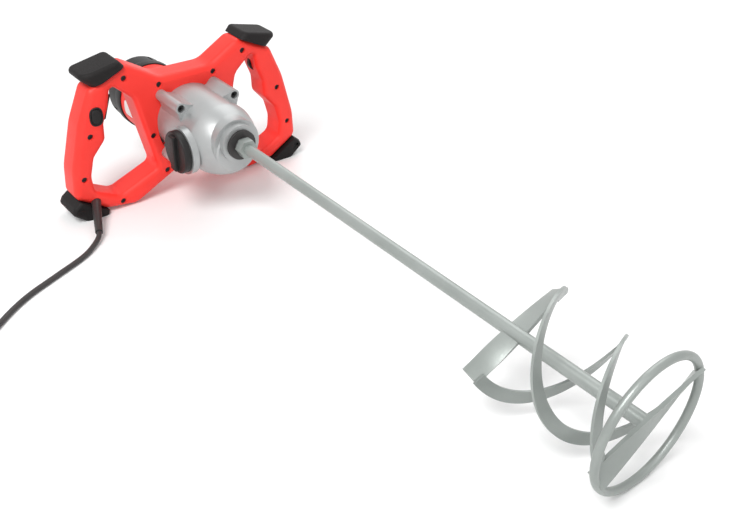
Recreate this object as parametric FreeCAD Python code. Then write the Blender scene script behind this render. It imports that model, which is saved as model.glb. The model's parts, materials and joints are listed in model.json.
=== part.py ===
import FreeCAD, Part
import math
import os
from FreeCAD import Placement, Rotation, Vector

# A two-handed mixing drill lying on its lower bumpers and the ring of its paddle. Millimetres.
# It is built along its own spindle: the origin is the front of the nose seal, +X runs down the spindle to the
# paddle, +Y to the right-hand grip and +Z to the upper bumpers. At the end it is laid down on the floor.

# Fits shared by all pieces
running_gap = 0.05        # radial gap of a shaft in its bearing
seat_gap = 0.1            # gap of a piece in its seat
moving_gap = 0.4          # gap round pieces that slide or turn in an opening
overrun = 2.0             # how far a cutter passes the face that it cuts

# Handle frame: two shells that meet at mid depth
frame_setback = 6.0       # from the gear housing's rear face back to the frame's front face
frame_depth = 40.0
frame_half_width = 172.0
frame_height = 170.0
frame_wall = 5.5
corner_radius = 14.0      # unit of the outline's corner radii
frame_edge_radius = 9.0   # roundness of the grips' outer edges
loop_edge_radius = 7.0    # roundness of the edges inside the hand loops
boss_radius = 5.0
# Outline of one half, as shares of the half width and the height, with each corner's radius as a share of the
# corner radius: from the middle of the top round the grip to the middle of the bottom.
outline_shares = [
    (0.209, 0.312, 2.14),
    (0.477, 0.474, 1.00),
    (0.779, 0.335, 1.00),
    (0.892, 0.076, 6.00),
    (0.988, -0.282, 5.00),
    (1.003, -0.506, 1.00),
    (0.762, -0.659, 1.00),
    (0.512, -0.694, 1.79),
    (0.128, -0.494, 1.79),
]
upper_seat_corner = 1     # the outline corner where the upper bumper's seat starts
lower_seat_corner = 5     # the outline corner where the lower bumper's seat starts
# The hand loop, in the same shares, from its apex down the grip and back along the column
loop_shares = [
    (0.610, 0.341, 0.36),
    (0.645, 0.176, 1.43),
    (0.695, 0.053, 1.00),
    (0.701, -0.076, 0.79),
    (0.808, -0.200, 1.07),
    (0.849, -0.353, 1.79),
    (0.837, -0.482, 0.86),
    (0.651, -0.579, 1.07),
    (0.302, -0.435, 0.64),
    (0.445, 0.188, 1.43),
]
# Screws through the front shell, in the same shares
screw_shares = [
    (0.506, 0.372),
    (0.233, 0.259),
    (0.820, -0.018),
    (0.915, -0.350),
    (0.634, -0.625),
    (0.233, -0.471),
    (0.320, -0.147),
]
screw_radius = 2.0
screw_head_radius = 3.6
screw_head_height = 2.6
screw_recess = 5.0        # depth of the head's well below the front face
cap_screw_recess = 8.0

# Corner bumpers
bumper_depth = 48.0
bumper_edge_radius = 5.0
bumper_front_corner_radius = 15.0
bumper_corner_radius = 8.0
upper_bumper_thickness = 23.0
lower_bumper_thickness = 21.0
# Bumper outlines as shares of the seat's length along it and of the thickness away from it
upper_bumper_shares = [(0.04, 0.0), (0.09, 0.46), (1.08, 1.0), (0.90, 0.0)]
lower_bumper_shares = [(0.10, 0.0), (0.02, 0.48), (0.04, 0.95), (0.66, 1.12), (1.12, 0.72), (1.03, 0.0)]
foot_drop = 118.0         # from the spindle axis down to the floor at the frame's front

# Motor
motor_drop = 22.0         # motor axis below the spindle axis
motor_radius = 47.0
motor_wall = 3.0
motor_length = 107.0      # barrel behind its flange
rear_cap_length = 30.0
rear_cap_edge_radius = 8.0
vent_count = 8
cap_screw_count = 4
cap_boss_radius = 5.0
cap_screw_length = 14.0     # how far a cap screw enters the barrel
vent_width = 4.0
vent_length = 14.0
stator_pole_radius = 25.0
stator_yoke = 7.0
coil_overhang = 9.0
coil_pole_gap = 2.0       # from the pole's face out to the field coils
core_radius = 24.0
core_inset = 3.0          # how far the stator stands out past each end of the core
winding_radius = 20.0
winding_length = 10.0
commutator_radius = 13.0
commutator_length = 18.0
commutator_gap = 4.0      # from the rear winding to the commutator
commutator_setback = 5.0  # from the barrel's rear end forward to the commutator
motor_shaft_radius = 4.0
fan_radius = 38.0
fan_hub_radius = 9.0
fan_width = 10.0
fan_disc = 2.0
fan_blade = 2.0
fan_blade_count = 11
brush_width = 6.0
brush_height = 11.0
brush_holder_wall = 2.0
small_bearing_radius = 11.0
small_bearing_width = 7.0
rear_bearing_radius = 9.5
rear_bearing_width = 6.0

# Gear housing
housing_drop = 12.0       # middle of the housing below the spindle axis
housing_radius = 48.0
housing_wall = 5.0
housing_length = 128.0    # from the nose back to the plate
dome_start = 52.0
dome_middle = 30.0
dome_middle_radius = 40.5
dome_end = 12.0
dome_end_radius = 28.0
nose_step_radius = 33.0
nose_step_front = 14.0
nose_radius = 25.0
nose_front = 4.0
plate_thickness = 10.0
lug_radius = 7.5
lug_half_width = 39.0
lug_rise = 41.5           # from the middle of the housing to a lug
lug_front = 80.0
lug_web_root = 40.0       # half width of a lug's web at the housing's middle
lug_screw_radius = 2.5
lug_screw_head_radius = 4.6
lug_screw_recess = 8.0

# Spindle and its bearings
spindle_radius = 9.0
spindle_nose_radius = 10.0
spindle_journal_radius = 6.0
spindle_reach = 3.0       # how far the spindle stands out of the nose
spindle_bore_depth = 22.0
thread_radius = 7.0
thread_gap = 0.1
nose_bearing_radius = 21.0
nose_bearing_width = 12.0
nose_bearing_front = 10.0
nose_seal_radius = 19.3
bush_wall = 2.5
bush_length = 8.0

# Gear train: tooth counts, modules and widths
pressure_angle = 25.0
addendum_share = 0.80
dedendum_share = 1.12
thinning_share = 0.10     # each flank stands back by this share of the module
pinion_teeth = 8
input_teeth = 30
input_module = 1.0
input_width = 8.0
low_pinion_teeth = 13
low_gear_teeth = 38
high_pinion_teeth = 20
high_gear_teeth = 31
output_module = 1.25
low_width = 14.0
high_width = 9.0
gear_end_gap = 1.0
countershaft_radius = 4.0

# Two-speed shift
shift_travel = 6.0
sleeve_length = 10.0
sleeve_radius = 15.0
sleeve_groove = 4.0
sleeve_groove_radius = 12.0
dog_length = 3.0
dog_inner_radius = 10.5
dog_outer_radius = 14.0
dog_count = 3
dog_angle = 40.0
fork_thickness = 3.4
fork_plate = 3.0
fork_plate_height = 22.0
fork_plate_offset = 31.0  # from the spindle axis to the plate's inner face
rail_radius = 3.0
rail_web = 1.5            # wall between the rail and the fork's plate
rail_boss_wall = 4.0
selector_setback = 64.0   # from the nose back to the knob's axis
selector_drop = 19.0
selector_shaft_radius = 6.0
selector_pin_radius = 2.0
selector_boss_radius = 31.0
selector_boss_face = 52.0 # from the spindle axis out to the boss's face
knob_radius = 28.0
knob_thickness = 9.0
knob_bar_width = 12.0
knob_bar_height = 5.0

# Left grip: trigger, lock button and switch
trigger_width = 20.0
trigger_height = 32.0
trigger_middle = 27.0     # height above the spindle axis
trigger_proud = 6.0
trigger_travel = 5.0
trigger_depth = 6.0
trigger_edge_radius = 2.5
switch_width = 18.0
switch_height = 22.0
switch_depth = 6.0
button_width = 13.0
button_height = 20.0
button_side = 129.5       # from the spindle axis out to the lock button
button_middle = 22.0
button_travel = 3.0
button_length = 7.0
button_recess = 1.5
button_rim = 2.5

# Right grip: speed thumbwheel and its control module
dial_radius = 11.0
dial_width = 7.0
dial_middle = 34.0
dial_proud = 3.0
dial_axle_radius = 2.0
module_height = 22.0
module_depth = 4.0

# Paddle
paddle_radius = 70.0
ring_bar_radius = 4.0
ring_station = 622.0      # from the nose to the middle of the ring
paddle_shaft_radius = 7.0
collar_flats = 22.0
collar_length = 12.0
blade_width = 20.0
blade_thickness = 4.0
arm_station = 471.0
arm_reach = 60.0
arm_angle = 65.0          # direction of the arms about the spindle, from +Z towards +Y
arm_twist = 41.0          # twist of each arm from the shaft to its tip
ribbon_radius = 63.0
ribbon_width = 13.0
ribbon_thickness = 2.6
ribbon_waist = 9.5        # how far a ribbon draws in halfway
ribbon_lag = 4.0          # how far a ribbon's middle lies past an even climb
ribbon_turn = 360.0
ribbon_steps = 24
blade_steps = 4
quarter_turn = 90.0
crossbar_twist = 32.0      # twist of each half of the crossbar out of the ring's plane

# Cord
cord_radius = 3.3
gland_length = 75.0
gland_inside = 14.0
gland_radius = 6.5
gland_end_radius = 4.8
gland_flange_radius = 8.0
gland_flange = 3.0
gland_side_share = -0.855 # where the gland leaves the frame, in the outline's shares
gland_height_share = -0.568
gland_direction = Vector(0.915, -0.377, -0.147)
coil_layers = 2
coil_turns = 3.0          # turns in one layer
coil_middle_radius = 48.0
coil_gap = 0.8            # gap between neighbouring turns
coil_climb_share = 0.5    # share of a turn in which the coil climbs to its upper layer
coil_centre = Vector(-157.0, -413.0, 0.0)
coil_start_angle = 34.0
cord_arc_share = 0.45     # share of a straight run that the arc at its corner takes up
cord_lead_out = 8.0       # first run, along the strain relief
cord_lead_in = 30.0       # last run, along the coil's start
tie_width = 12.0
tie_thickness = 1.2
tie_angle = 110.0
plug_length = 36.0
plug_width = 36.0
plug_height = 14.0
plug_pin_radius = 2.4
plug_pin_length = 19.0
plug_pin_spacing = 19.0
plug_relief_length = 42.0
plug_drop_share = 0.07    # slope of the plug from the coil's top down to the floor
plug_edge_radius = 4.0
# The cord's free run over the floor, from the strain relief to the coil, chosen by hand
cord_route = [
    (-233.0, -186.0, 4.6),
    (-219.0, -202.5, 3.7),
    (-208.0, -222.0, 3.7),
    (-197.7, -243.6, 3.7),
    (-186.3, -266.6, 3.7),
    (-175.5, -288.6, 3.7),
    (-162.1, -309.2, 3.7),
    (-149.4, -325.1, 3.7),
    (-138.5, -337.5, 3.7),
]

parts = {}
ORIGIN = Vector(0, 0, 0)
ALONG_X = Vector(1, 0, 0)
ALONG_Y = Vector(0, 1, 0)
ALONG_Z = Vector(0, 0, 1)


def add(name, shape):
    """Keeps one piece under its name."""
    parts[name] = shape


def rod(radius, start, length, y=0, z=0):
    """A round bar along +X."""
    return Part.makeCylinder(radius, length, Vector(start, y, z), ALONG_X)


def tube(outer, inner, start, length, y=0, z=0):
    """A round tube along +X."""
    return rod(outer, start, length, y, z).cut(rod(inner, start - overrun, length + 2 * overrun, y, z))


def block(low, high):
    """A box between two corners."""
    size = high - low
    return Part.makeBox(size.x, size.y, size.z, low)


def mirrored(shape):
    """The same piece on the other side of the drill."""
    return shape.mirror(ORIGIN, ALONG_Y)


def rounded_wire(corners, x):
    """A closed outline in the plane at x, from corners (y, z, radius), with round corners."""
    edges = []
    ends = []
    count = len(corners)
    for index in range(count):
        before = Vector(x, *corners[index - 1][:2])
        here = Vector(x, *corners[index][:2])
        after = Vector(x, *corners[(index + 1) % count][:2])
        back = (before - here).normalize()
        forth = (after - here).normalize()
        half = back.getAngle(forth) / 2
        setback = corners[index][2] / math.tan(half)
        middle = (back + forth).normalize()
        reach = corners[index][2] / math.sin(half) - corners[index][2]
        ends.append((here + back * setback, here + middle * reach, here + forth * setback))
    for index in range(count):
        start, bend, end = ends[index]
        edges.append(Part.Arc(start, bend, end).toShape())
        edges.append(Part.LineSegment(end, ends[(index + 1) % count][0]).toShape())
    return Part.Wire(edges)


def frame_point(shares, side=1):
    """A corner of the frame's outline in millimetres."""
    return side * shares[0] * frame_half_width, shares[1] * frame_height


def frame_corner(shares, side=1):
    """A corner of the frame's outline with its radius."""
    y, z = frame_point(shares, side)
    return y, z, shares[2] * corner_radius


def frame_outline(x):
    """The frame's outer outline at x."""
    right = [frame_corner(s) for s in outline_shares]
    left = [frame_corner(s, -1) for s in reversed(outline_shares)]
    return rounded_wire(right + left, x)


def loop_outline(x, side):
    """The outline of one hand loop at x."""
    return rounded_wire([frame_corner(s, side) for s in loop_shares], x)


lug_places = [(y, z - housing_drop) for y in (-lug_half_width, lug_half_width) for z in (-lug_rise, lug_rise)]


def flange_solid(radius, lug, start, length):
    """A round flange with four screw lugs, along +X."""
    solid = rod(radius, start, length, 0, -housing_drop)
    for y, z in lug_places:
        solid = solid.fuse(lug_solid(lug, start, length, y, z, lug))
    return solid.removeSplitter()


def lug_solid(radius, start, length, y, z, root):
    """One screw lug and its web to the flange, which is root wide to each side at the middle."""
    outward = Vector(0, y, z + housing_drop).normalize()
    across = ALONG_X.cross(outward)
    middle = Vector(start, 0, -housing_drop)
    tip = Vector(start, y, z)
    web = Part.Face(Part.makePolygon([middle + across * root, tip + across * radius, tip - across * radius,
                                      middle - across * root, middle + across * root]))
    return rod(radius, start, length, y, z).fuse(web.extrude(ALONG_X * length))


# Places along the spindle, counted back from the nose
frame_front = housing_length + frame_setback
module_width = frame_depth - 2 * frame_wall
frame_back = -frame_front - frame_depth
frame_split = -frame_front - frame_depth / 2
plate_front = -housing_length
plate_back = plate_front - plate_thickness
flange_back = frame_split
flange_front = plate_back
flange_thickness = flange_front - flange_back
barrel_back = flange_back - motor_length
cap_back = barrel_back - rear_cap_length


def frame_shell(x_outer, inward):
    """One shell of the handle frame, from its outer face to the split, hollow and with rounded edges."""
    depth = frame_depth / 2
    run = ALONG_X * (inward * depth)
    faces = [Part.Face(loop_outline(x_outer, side)) for side in (-1, 1)]
    outline = Part.Face(frame_outline(x_outer)).cut(faces[0]).cut(faces[1])
    solid = outline.extrude(run)
    outer_rim = []
    loop_rim = []
    for edge in solid.Edges:
        if abs(edge.BoundBox.XMin - x_outer) + abs(edge.BoundBox.XMax - x_outer) > seat_gap:
            continue
        on_loop = any(edge.distToShape(face)[0] < seat_gap for face in faces)
        (loop_rim if on_loop else outer_rim).append(edge)
    solid = solid.makeFillet(frame_edge_radius, outer_rim)
    loop_edges = [e for e in solid.Edges if any(e.CenterOfMass.isEqual(f.CenterOfMass,
                                                                       seat_gap) for f in loop_rim)]
    solid = solid.makeFillet(loop_edge_radius, loop_edges)
    hollow_face = outline.Faces[0].makeOffset2D(-frame_wall)
    hollow_face.translate(ALONG_X * (inward * frame_wall))
    hollow = hollow_face.extrude(run)
    core = rod(motor_radius + frame_wall, frame_back - overrun, frame_depth + 2 * overrun, 0, -motor_drop)
    core = core.fuse(flange_solid(housing_radius + frame_wall, lug_radius + frame_wall,
                                  frame_back - overrun, frame_depth + 2 * overrun))
    return solid.cut(hollow.cut(core))


def screw_places():
    """Where the frame's screws stand, as (y, z)."""
    return [frame_point(s, side) for s in screw_shares for side in (-1, 1)]


def make_frame():
    """The two shells of the handle frame and the screws that hold them together."""
    front = frame_shell(-frame_front, -1)
    rear = frame_shell(frame_back, 1)
    screws = []
    shank = frame_depth - screw_recess - frame_wall
    for y, z in screw_places():
        head_seat = -frame_front - screw_recess
        boss = rod(boss_radius, frame_back + frame_wall, frame_depth - 2 * frame_wall, y, z)
        front = front.fuse(boss.common(block(Vector(frame_split, y - boss_radius, z - boss_radius),
                                             Vector(-frame_front, y + boss_radius, z + boss_radius))))
        rear = rear.fuse(boss.common(block(Vector(frame_back, y - boss_radius, z - boss_radius),
                                           Vector(frame_split, y + boss_radius, z + boss_radius))))
        well = rod(screw_head_radius + moving_gap, head_seat, screw_recess + overrun, y, z)
        hole = rod(screw_radius + seat_gap, head_seat - shank, shank + screw_recess, y, z)
        front = front.cut(well).cut(hole)
        rear = rear.cut(hole)
        head = rod(screw_head_radius, head_seat, screw_head_height, y, z)
        socket = rod(screw_radius, head_seat + screw_head_height / 2, screw_head_height, y, z)
        body = rod(screw_radius, head_seat - shank + seat_gap, shank, y, z)
        screws.append(head.cut(socket).fuse(body))
    recess = flange_solid(housing_radius + seat_gap, lug_radius + seat_gap, frame_split,
                          frame_depth / 2 + overrun)
    bore = rod(motor_radius + seat_gap, frame_back - overrun, frame_depth + 2 * overrun, 0, -motor_drop)
    front = front.cut(recess).cut(bore)
    rear = rear.cut(bore)
    return front, rear, Part.makeCompound(screws)


def seat_line(corner):
    """Start, direction, outward normal and length of a bumper's seat on the right-hand outline."""
    start = Vector(0, *frame_point(outline_shares[corner]))
    end = Vector(0, *frame_point(outline_shares[corner + 1]))
    along = (end - start).normalize()
    outward = ALONG_X.cross(along) * -1
    return start, along, outward, (end - start).Length


def bumper_block(corner, shares, thickness):
    """The plain block of a right-hand rubber bumper on a cut corner of the frame, and its seat."""
    start, along, outward, length = seat_line(corner)
    if outward.dot(start) < 0:
        outward = outward * -1
    front = ALONG_X * ((bumper_depth - frame_depth) / 2 - frame_front)
    points = [front + start + along * (a * length) + outward * (t * thickness) for a, t in shares]
    solid = Part.Face(Part.makePolygon(points + points[:1])).extrude(ALONG_X * -bumper_depth)
    return solid, start, along, outward, length


def upper_bumper():
    """An upper bumper: a wedge that is thicker at its outer end, with round corners and a round upper rim."""
    solid, start, along, outward, length = bumper_block(upper_seat_corner, upper_bumper_shares,
                                                        upper_bumper_thickness)
    for at_front, radius in ((True, bumper_front_corner_radius), (False, bumper_corner_radius)):
        upright = [e for e in solid.Edges
                   if abs(e.tangentAt(e.FirstParameter).dot(outward)) > math.cos(math.pi / 4)]
        outer_front = [e for e in upright if e.CenterOfMass.x > frame_split
                       and (e.CenterOfMass - start).dot(along) > length / 2]
        sharp = [e for e in upright if e.CenterOfMass.x < frame_split
                 or (e.CenterOfMass - start).dot(along) < length / 2]
        solid = solid.makeFillet(radius, outer_front if at_front else sharp)
    top = max(solid.Faces, key=lambda face: face.CenterOfMass.dot(outward))
    return solid.makeFillet(bumper_edge_radius, top.Edges)


def lower_bumper():
    """A lower bumper, rounded clear of the frame and cut flat where it stands on the floor."""
    solid, start, along, outward, length = bumper_block(lower_seat_corner, lower_bumper_shares,
                                                        lower_bumper_thickness)
    rounded = [e for e in solid.Edges if (e.CenterOfMass - start).dot(outward) > bumper_edge_radius / 2]
    return solid.makeFillet(bumper_edge_radius, rounded).cut(below_floor())


# How the drill lies: the floor touches the lower bumpers' front edge and the ring of the paddle.
ring_middle_radius = paddle_radius - ring_bar_radius
rest_run = ring_station + frame_front
rest_rise = foot_drop - ring_middle_radius
tilt = math.atan2(rest_rise, rest_run) - math.asin(ring_bar_radius / math.hypot(rest_rise, rest_run))


def below_floor():
    """A block that fills everything under the floor, in the drill's own frame."""
    reach = ring_station
    slab = Part.makeBox(2 * reach, 2 * reach, reach, Vector(-reach, -reach, -reach))
    slab.rotate(ORIGIN, ALONG_Y, -math.degrees(tilt))
    slab.translate(Vector(-frame_front, 0, -foot_drop))
    return slab


def make_motor_housing():
    """The red motor barrel with the flange that the frame clamps."""
    body = flange_solid(housing_radius, lug_radius, flange_back, flange_front - flange_back)
    body = body.fuse(rod(motor_radius, barrel_back, motor_length, 0, -motor_drop)).removeSplitter()
    inner = motor_radius - motor_wall
    bore = rod(inner, barrel_back - overrun, flange_front - barrel_back - motor_wall + overrun, 0,
               -motor_drop)
    mouth = rod(inner - motor_wall, flange_front - 2 * motor_wall, 2 * motor_wall + overrun, 0, -motor_drop)
    body = body.cut(bore).cut(mouth)
    for y, z in lug_places:
        body = body.cut(rod(lug_screw_radius + seat_gap, flange_back + motor_wall, flange_thickness, y, z))
    for y, z in cap_screw_places():
        boss = rod(cap_boss_radius, barrel_back, cap_screw_length, y, z)
        hole = rod(screw_radius + seat_gap, barrel_back - overrun, cap_screw_length, y, z)
        body = body.fuse(boss).cut(hole)
    return body


def cap_screw_places():
    """Where the rear cap's screws stand, as (y, z)."""
    ring = motor_radius - motor_wall / 2 - cap_boss_radius
    angles = [2 * math.pi * (index + 1 / 2) / cap_screw_count for index in range(cap_screw_count)]
    return [(ring * math.cos(a), ring * math.sin(a) - motor_drop) for a in angles]


# Places inside the motor, counted along +X
stator_front = flange_front - 2 * motor_wall - fan_width - 2 * coil_overhang
commutator_back = barrel_back + commutator_setback
core_front = stator_front - core_inset
core_back = commutator_back + commutator_length + commutator_gap + winding_length
core_length = core_front - core_back
stator_length = core_length + 2 * core_inset
stator_back = stator_front - stator_length
brush_middle = commutator_back + commutator_length / 2
brush_half = brush_height / 2 + brush_holder_wall
rear_bearing_front = commutator_back - rear_bearing_width
rear_bearing_back = rear_bearing_front - rear_bearing_width


def make_rear_cap():
    """The dark cap over the brush end, with the rear bearing's seat and cooling slots."""
    cap = rod(motor_radius, cap_back, rear_cap_length, 0, -motor_drop)
    rim = [e for e in cap.Edges if abs(e.BoundBox.XMax - cap_back) < seat_gap]
    cap = cap.makeFillet(rear_cap_edge_radius, rim)
    inner = motor_radius - 2 * motor_wall
    cap = cap.cut(rod(inner, cap_back + motor_wall, rear_cap_length, 0, -motor_drop))
    seat_length = rear_bearing_front - cap_back - motor_wall
    seat = rod(rear_bearing_radius + motor_wall, cap_back + motor_wall / 2, seat_length + motor_wall / 2, 0,
               -motor_drop)
    seat = seat.cut(rod(rear_bearing_radius + seat_gap, rear_bearing_back, seat_length, 0, -motor_drop))
    cap = cap.fuse(seat)
    cap = cap.cut(rod(motor_shaft_radius + moving_gap, cap_back + motor_wall, rear_cap_length, 0,
                      -motor_drop))
    slot_start = cap_back + rear_cap_edge_radius
    for index in range(vent_count):
        slot = block(Vector(slot_start, -vent_width / 2, inner - motor_wall),
                     Vector(slot_start + vent_length, vent_width / 2, motor_radius + overrun))
        slot.rotate(ORIGIN, ALONG_X, 360.0 * (index + 1 / 2) / vent_count)
        slot.translate(Vector(0, 0, -motor_drop))
        cap = cap.cut(slot)
    return cap


def make_cap_screws(cap):
    """The rear cap's screws, and the cap with the columns and wells that take them."""
    screws = []
    seat = cap_back + cap_screw_recess
    for y, z in cap_screw_places():
        column = rod(cap_boss_radius, cap_back + motor_wall / 2, rear_cap_length - motor_wall / 2, y, z)
        well = rod(screw_head_radius + moving_gap, cap_back - overrun, cap_screw_recess + overrun, y, z)
        hole = rod(screw_radius + seat_gap, cap_back, rear_cap_length + overrun, y, z)
        cap = cap.fuse(column).cut(well).cut(hole)
        head = rod(screw_head_radius, seat - screw_head_height, screw_head_height, y, z)
        socket = rod(screw_radius, seat - screw_head_height - overrun, screw_head_height / 2 + overrun, y, z)
        shank = rod(screw_radius, seat, rear_cap_length - cap_screw_recess + cap_screw_length - 2 * overrun,
                    y, z)
        screws.append(head.cut(socket).fuse(shank))
    return Part.makeCompound(screws), cap


def make_stator():
    """The stator's iron with two poles, and the field coils round them."""
    outer = motor_radius - motor_wall
    core = tube(outer, stator_pole_radius, stator_back, stator_length, 0, -motor_drop)
    window_inner = stator_pole_radius - overrun
    coils = []
    for side in (-1, 1):
        window = block(Vector(stator_back - overrun, min(side * window_inner, side * (outer - stator_yoke)),
                              -motor_drop - window_inner),
                       Vector(stator_front + overrun, max(side * window_inner, side * (outer - stator_yoke)),
                              -motor_drop + window_inner))
        ring = tube(outer - stator_yoke, stator_pole_radius, stator_back - overrun,
                    stator_length + 2 * overrun,
                    0, -motor_drop)
        space = window.common(ring)
        core = core.cut(space)
        coil_inner = stator_pole_radius + coil_pole_gap
        coil_outer = outer - stator_yoke - seat_gap
        coil = tube(coil_outer, coil_inner, stator_back - coil_overhang, stator_length + 2 * coil_overhang,
                    0, -motor_drop)
        half = window_inner - seat_gap
        reach = sorted((side * (window_inner + seat_gap), side * coil_outer))
        limit = block(Vector(stator_back - coil_overhang, reach[0], -motor_drop - half),
                      Vector(stator_front + coil_overhang, reach[1], -motor_drop + half))
        coils.append(coil.common(limit))
    return core, Part.makeCompound(coils)


def gear(teeth, module, start, width, bore, tooth_angle, y=0, z=0):
    """A straight-toothed involute gear with its axis along +X; one tooth points along tooth_angle."""
    pitch = teeth * module / 2
    alpha = math.radians(pressure_angle)
    base = pitch * math.cos(alpha)
    tip = pitch + addendum_share * module
    root = pitch - dedendum_share * module
    half_tooth = math.pi / (2 * teeth) - thinning_share * module / pitch
    flare = math.tan(alpha) - alpha

    def flank(radius):
        """Half angle of the tooth at a radius."""
        if radius <= base:
            return half_tooth + flare
        beta = math.acos(base / radius)
        return half_tooth + flare - (math.tan(beta) - beta)

    def at(radius, angle):
        return Vector(start, y + radius * math.cos(angle), z + radius * math.sin(angle))

    low = max(root, base)
    steps = [low, (2 * low + tip) / 3, (low + 2 * tip) / 3, tip]
    edges = []
    step_angle = 2 * math.pi / teeth
    for index in range(teeth):
        middle = tooth_angle + index * step_angle
        rising = [at(root, middle - flank(low))] if root < base else []
        rising += [at(radius, middle - flank(radius)) for radius in steps]
        falling = [at(radius, middle + flank(radius)) for radius in reversed(steps)]
        falling += [at(root, middle + flank(low))] if root < base else []
        edges += [Part.LineSegment(a, b).toShape() for a, b in zip(rising, rising[1:])]
        edges.append(Part.Arc(rising[-1], at(tip, middle), falling[0]).toShape())
        edges += [Part.LineSegment(a, b).toShape() for a, b in zip(falling, falling[1:])]
        next_start = at(rising_radius(root, base, low), middle + step_angle - flank(low))
        edges.append(Part.Arc(falling[-1], at(min(root, low), middle + step_angle / 2), next_start).toShape())
    solid = Part.Face(Part.Wire(Part.sortEdges(edges)[0])).extrude(ALONG_X * width)
    return solid.cut(rod(bore, start - overrun, width + 2 * overrun, y, z))


def rising_radius(root, base, low):
    """The radius where a tooth's flank starts: the root circle, or the base circle where that is smaller."""
    return root if root < base else low


# Where the gears stand
input_distance = (pinion_teeth + input_teeth) * input_module / 2
output_distance = (low_pinion_teeth + low_gear_teeth) * output_module / 2
counter_z = (input_distance ** 2 - output_distance ** 2 - motor_drop ** 2) / (2 * motor_drop)
counter_y = math.sqrt(output_distance ** 2 - counter_z ** 2)
input_start = plate_front + gear_end_gap
high_start = input_start + input_width + 2 * gear_end_gap
sleeve_start = high_start + high_width + shift_travel + moving_gap
low_start = sleeve_start + sleeve_length + moving_gap
counter_front = low_start + low_width + 2 * gear_end_gap
spindle_to_counter = math.atan2(counter_z, counter_y)
motor_to_counter = math.atan2(counter_z + motor_drop, counter_y)


def facing_gap(angle, teeth):
    """Angle of the first tooth of a gear whose tooth gap faces the mate that lies at angle."""
    return angle + math.pi + math.pi / teeth


def make_gears():
    """All gears, in mesh at rest."""
    low_gear = gear(low_gear_teeth, output_module, low_start, low_width, spindle_radius,
                    spindle_to_counter)
    low_pinion = gear(low_pinion_teeth, output_module, low_start, low_width, countershaft_radius,
                      facing_gap(spindle_to_counter, low_pinion_teeth), counter_y, counter_z)
    high_gear = gear(high_gear_teeth, output_module, high_start, high_width, spindle_radius + running_gap,
                     spindle_to_counter)
    high_pinion = gear(high_pinion_teeth, output_module, high_start, high_width, countershaft_radius,
                       facing_gap(spindle_to_counter, high_pinion_teeth), counter_y, counter_z)
    input_gear = gear(input_teeth, input_module, input_start, input_width, countershaft_radius,
                      facing_gap(motor_to_counter, input_teeth), counter_y, counter_z)
    pinion = gear(pinion_teeth, input_module, input_start - gear_end_gap, input_width + 2 * gear_end_gap,
                  motor_shaft_radius / 2, motor_to_counter, 0, -motor_drop)
    return low_gear, low_pinion, high_gear, high_pinion, input_gear, pinion


def dog(start, length, grow):
    """One clutch dog of the shift sleeve, or its slot when grown by a clearance."""
    ring = tube(dog_outer_radius + grow, dog_inner_radius - grow, start, length)
    half = math.radians(dog_angle) / 2 + grow / dog_inner_radius
    reach = 2 * dog_outer_radius
    wedge = Part.Face(Part.makePolygon([
        Vector(start, 0, 0),
        Vector(start, reach * math.cos(half), -reach * math.sin(half)),
        Vector(start, reach * math.cos(half), reach * math.sin(half)),
        Vector(start, 0, 0)])).extrude(ALONG_X * length)
    return ring.common(wedge)


def make_shift(low_gear, high_gear):
    """The shift sleeve with dogs at both ends, and the two gears with the recesses that take them."""
    sleeve = tube(sleeve_radius, spindle_radius + running_gap, sleeve_start, sleeve_length)
    groove_start = sleeve_start + (sleeve_length - sleeve_groove) / 2
    sleeve = sleeve.cut(tube(sleeve_radius + overrun, sleeve_groove_radius, groove_start, sleeve_groove))
    for index in range(dog_count):
        turn = 360.0 * index / dog_count
        front = dog(sleeve_start + sleeve_length, dog_length, 0)
        back = dog(sleeve_start - dog_length, dog_length, 0)
        slot = dog(low_start - overrun, dog_length + overrun, moving_gap)
        for piece in (front, back, slot):
            piece.rotate(ORIGIN, ALONG_X, turn)
        sleeve = sleeve.fuse(front).fuse(back)
        low_gear = low_gear.cut(slot)
    high_front = high_start + high_width
    reach_in = shift_travel + dog_length - (sleeve_start - high_front)
    ring = tube(dog_outer_radius + moving_gap, dog_inner_radius - moving_gap,
                high_front - reach_in - moving_gap,
                reach_in + moving_gap + overrun)
    return sleeve.removeSplitter(), low_gear, high_gear.cut(ring)


rail_y = -fork_plate_offset - fork_plate / 2
fork_top = -selector_drop + fork_plate_height / 2
rail_z = fork_top + rail_radius + rail_web
selector_x = -selector_setback
selector_throw = shift_travel / 2


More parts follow.
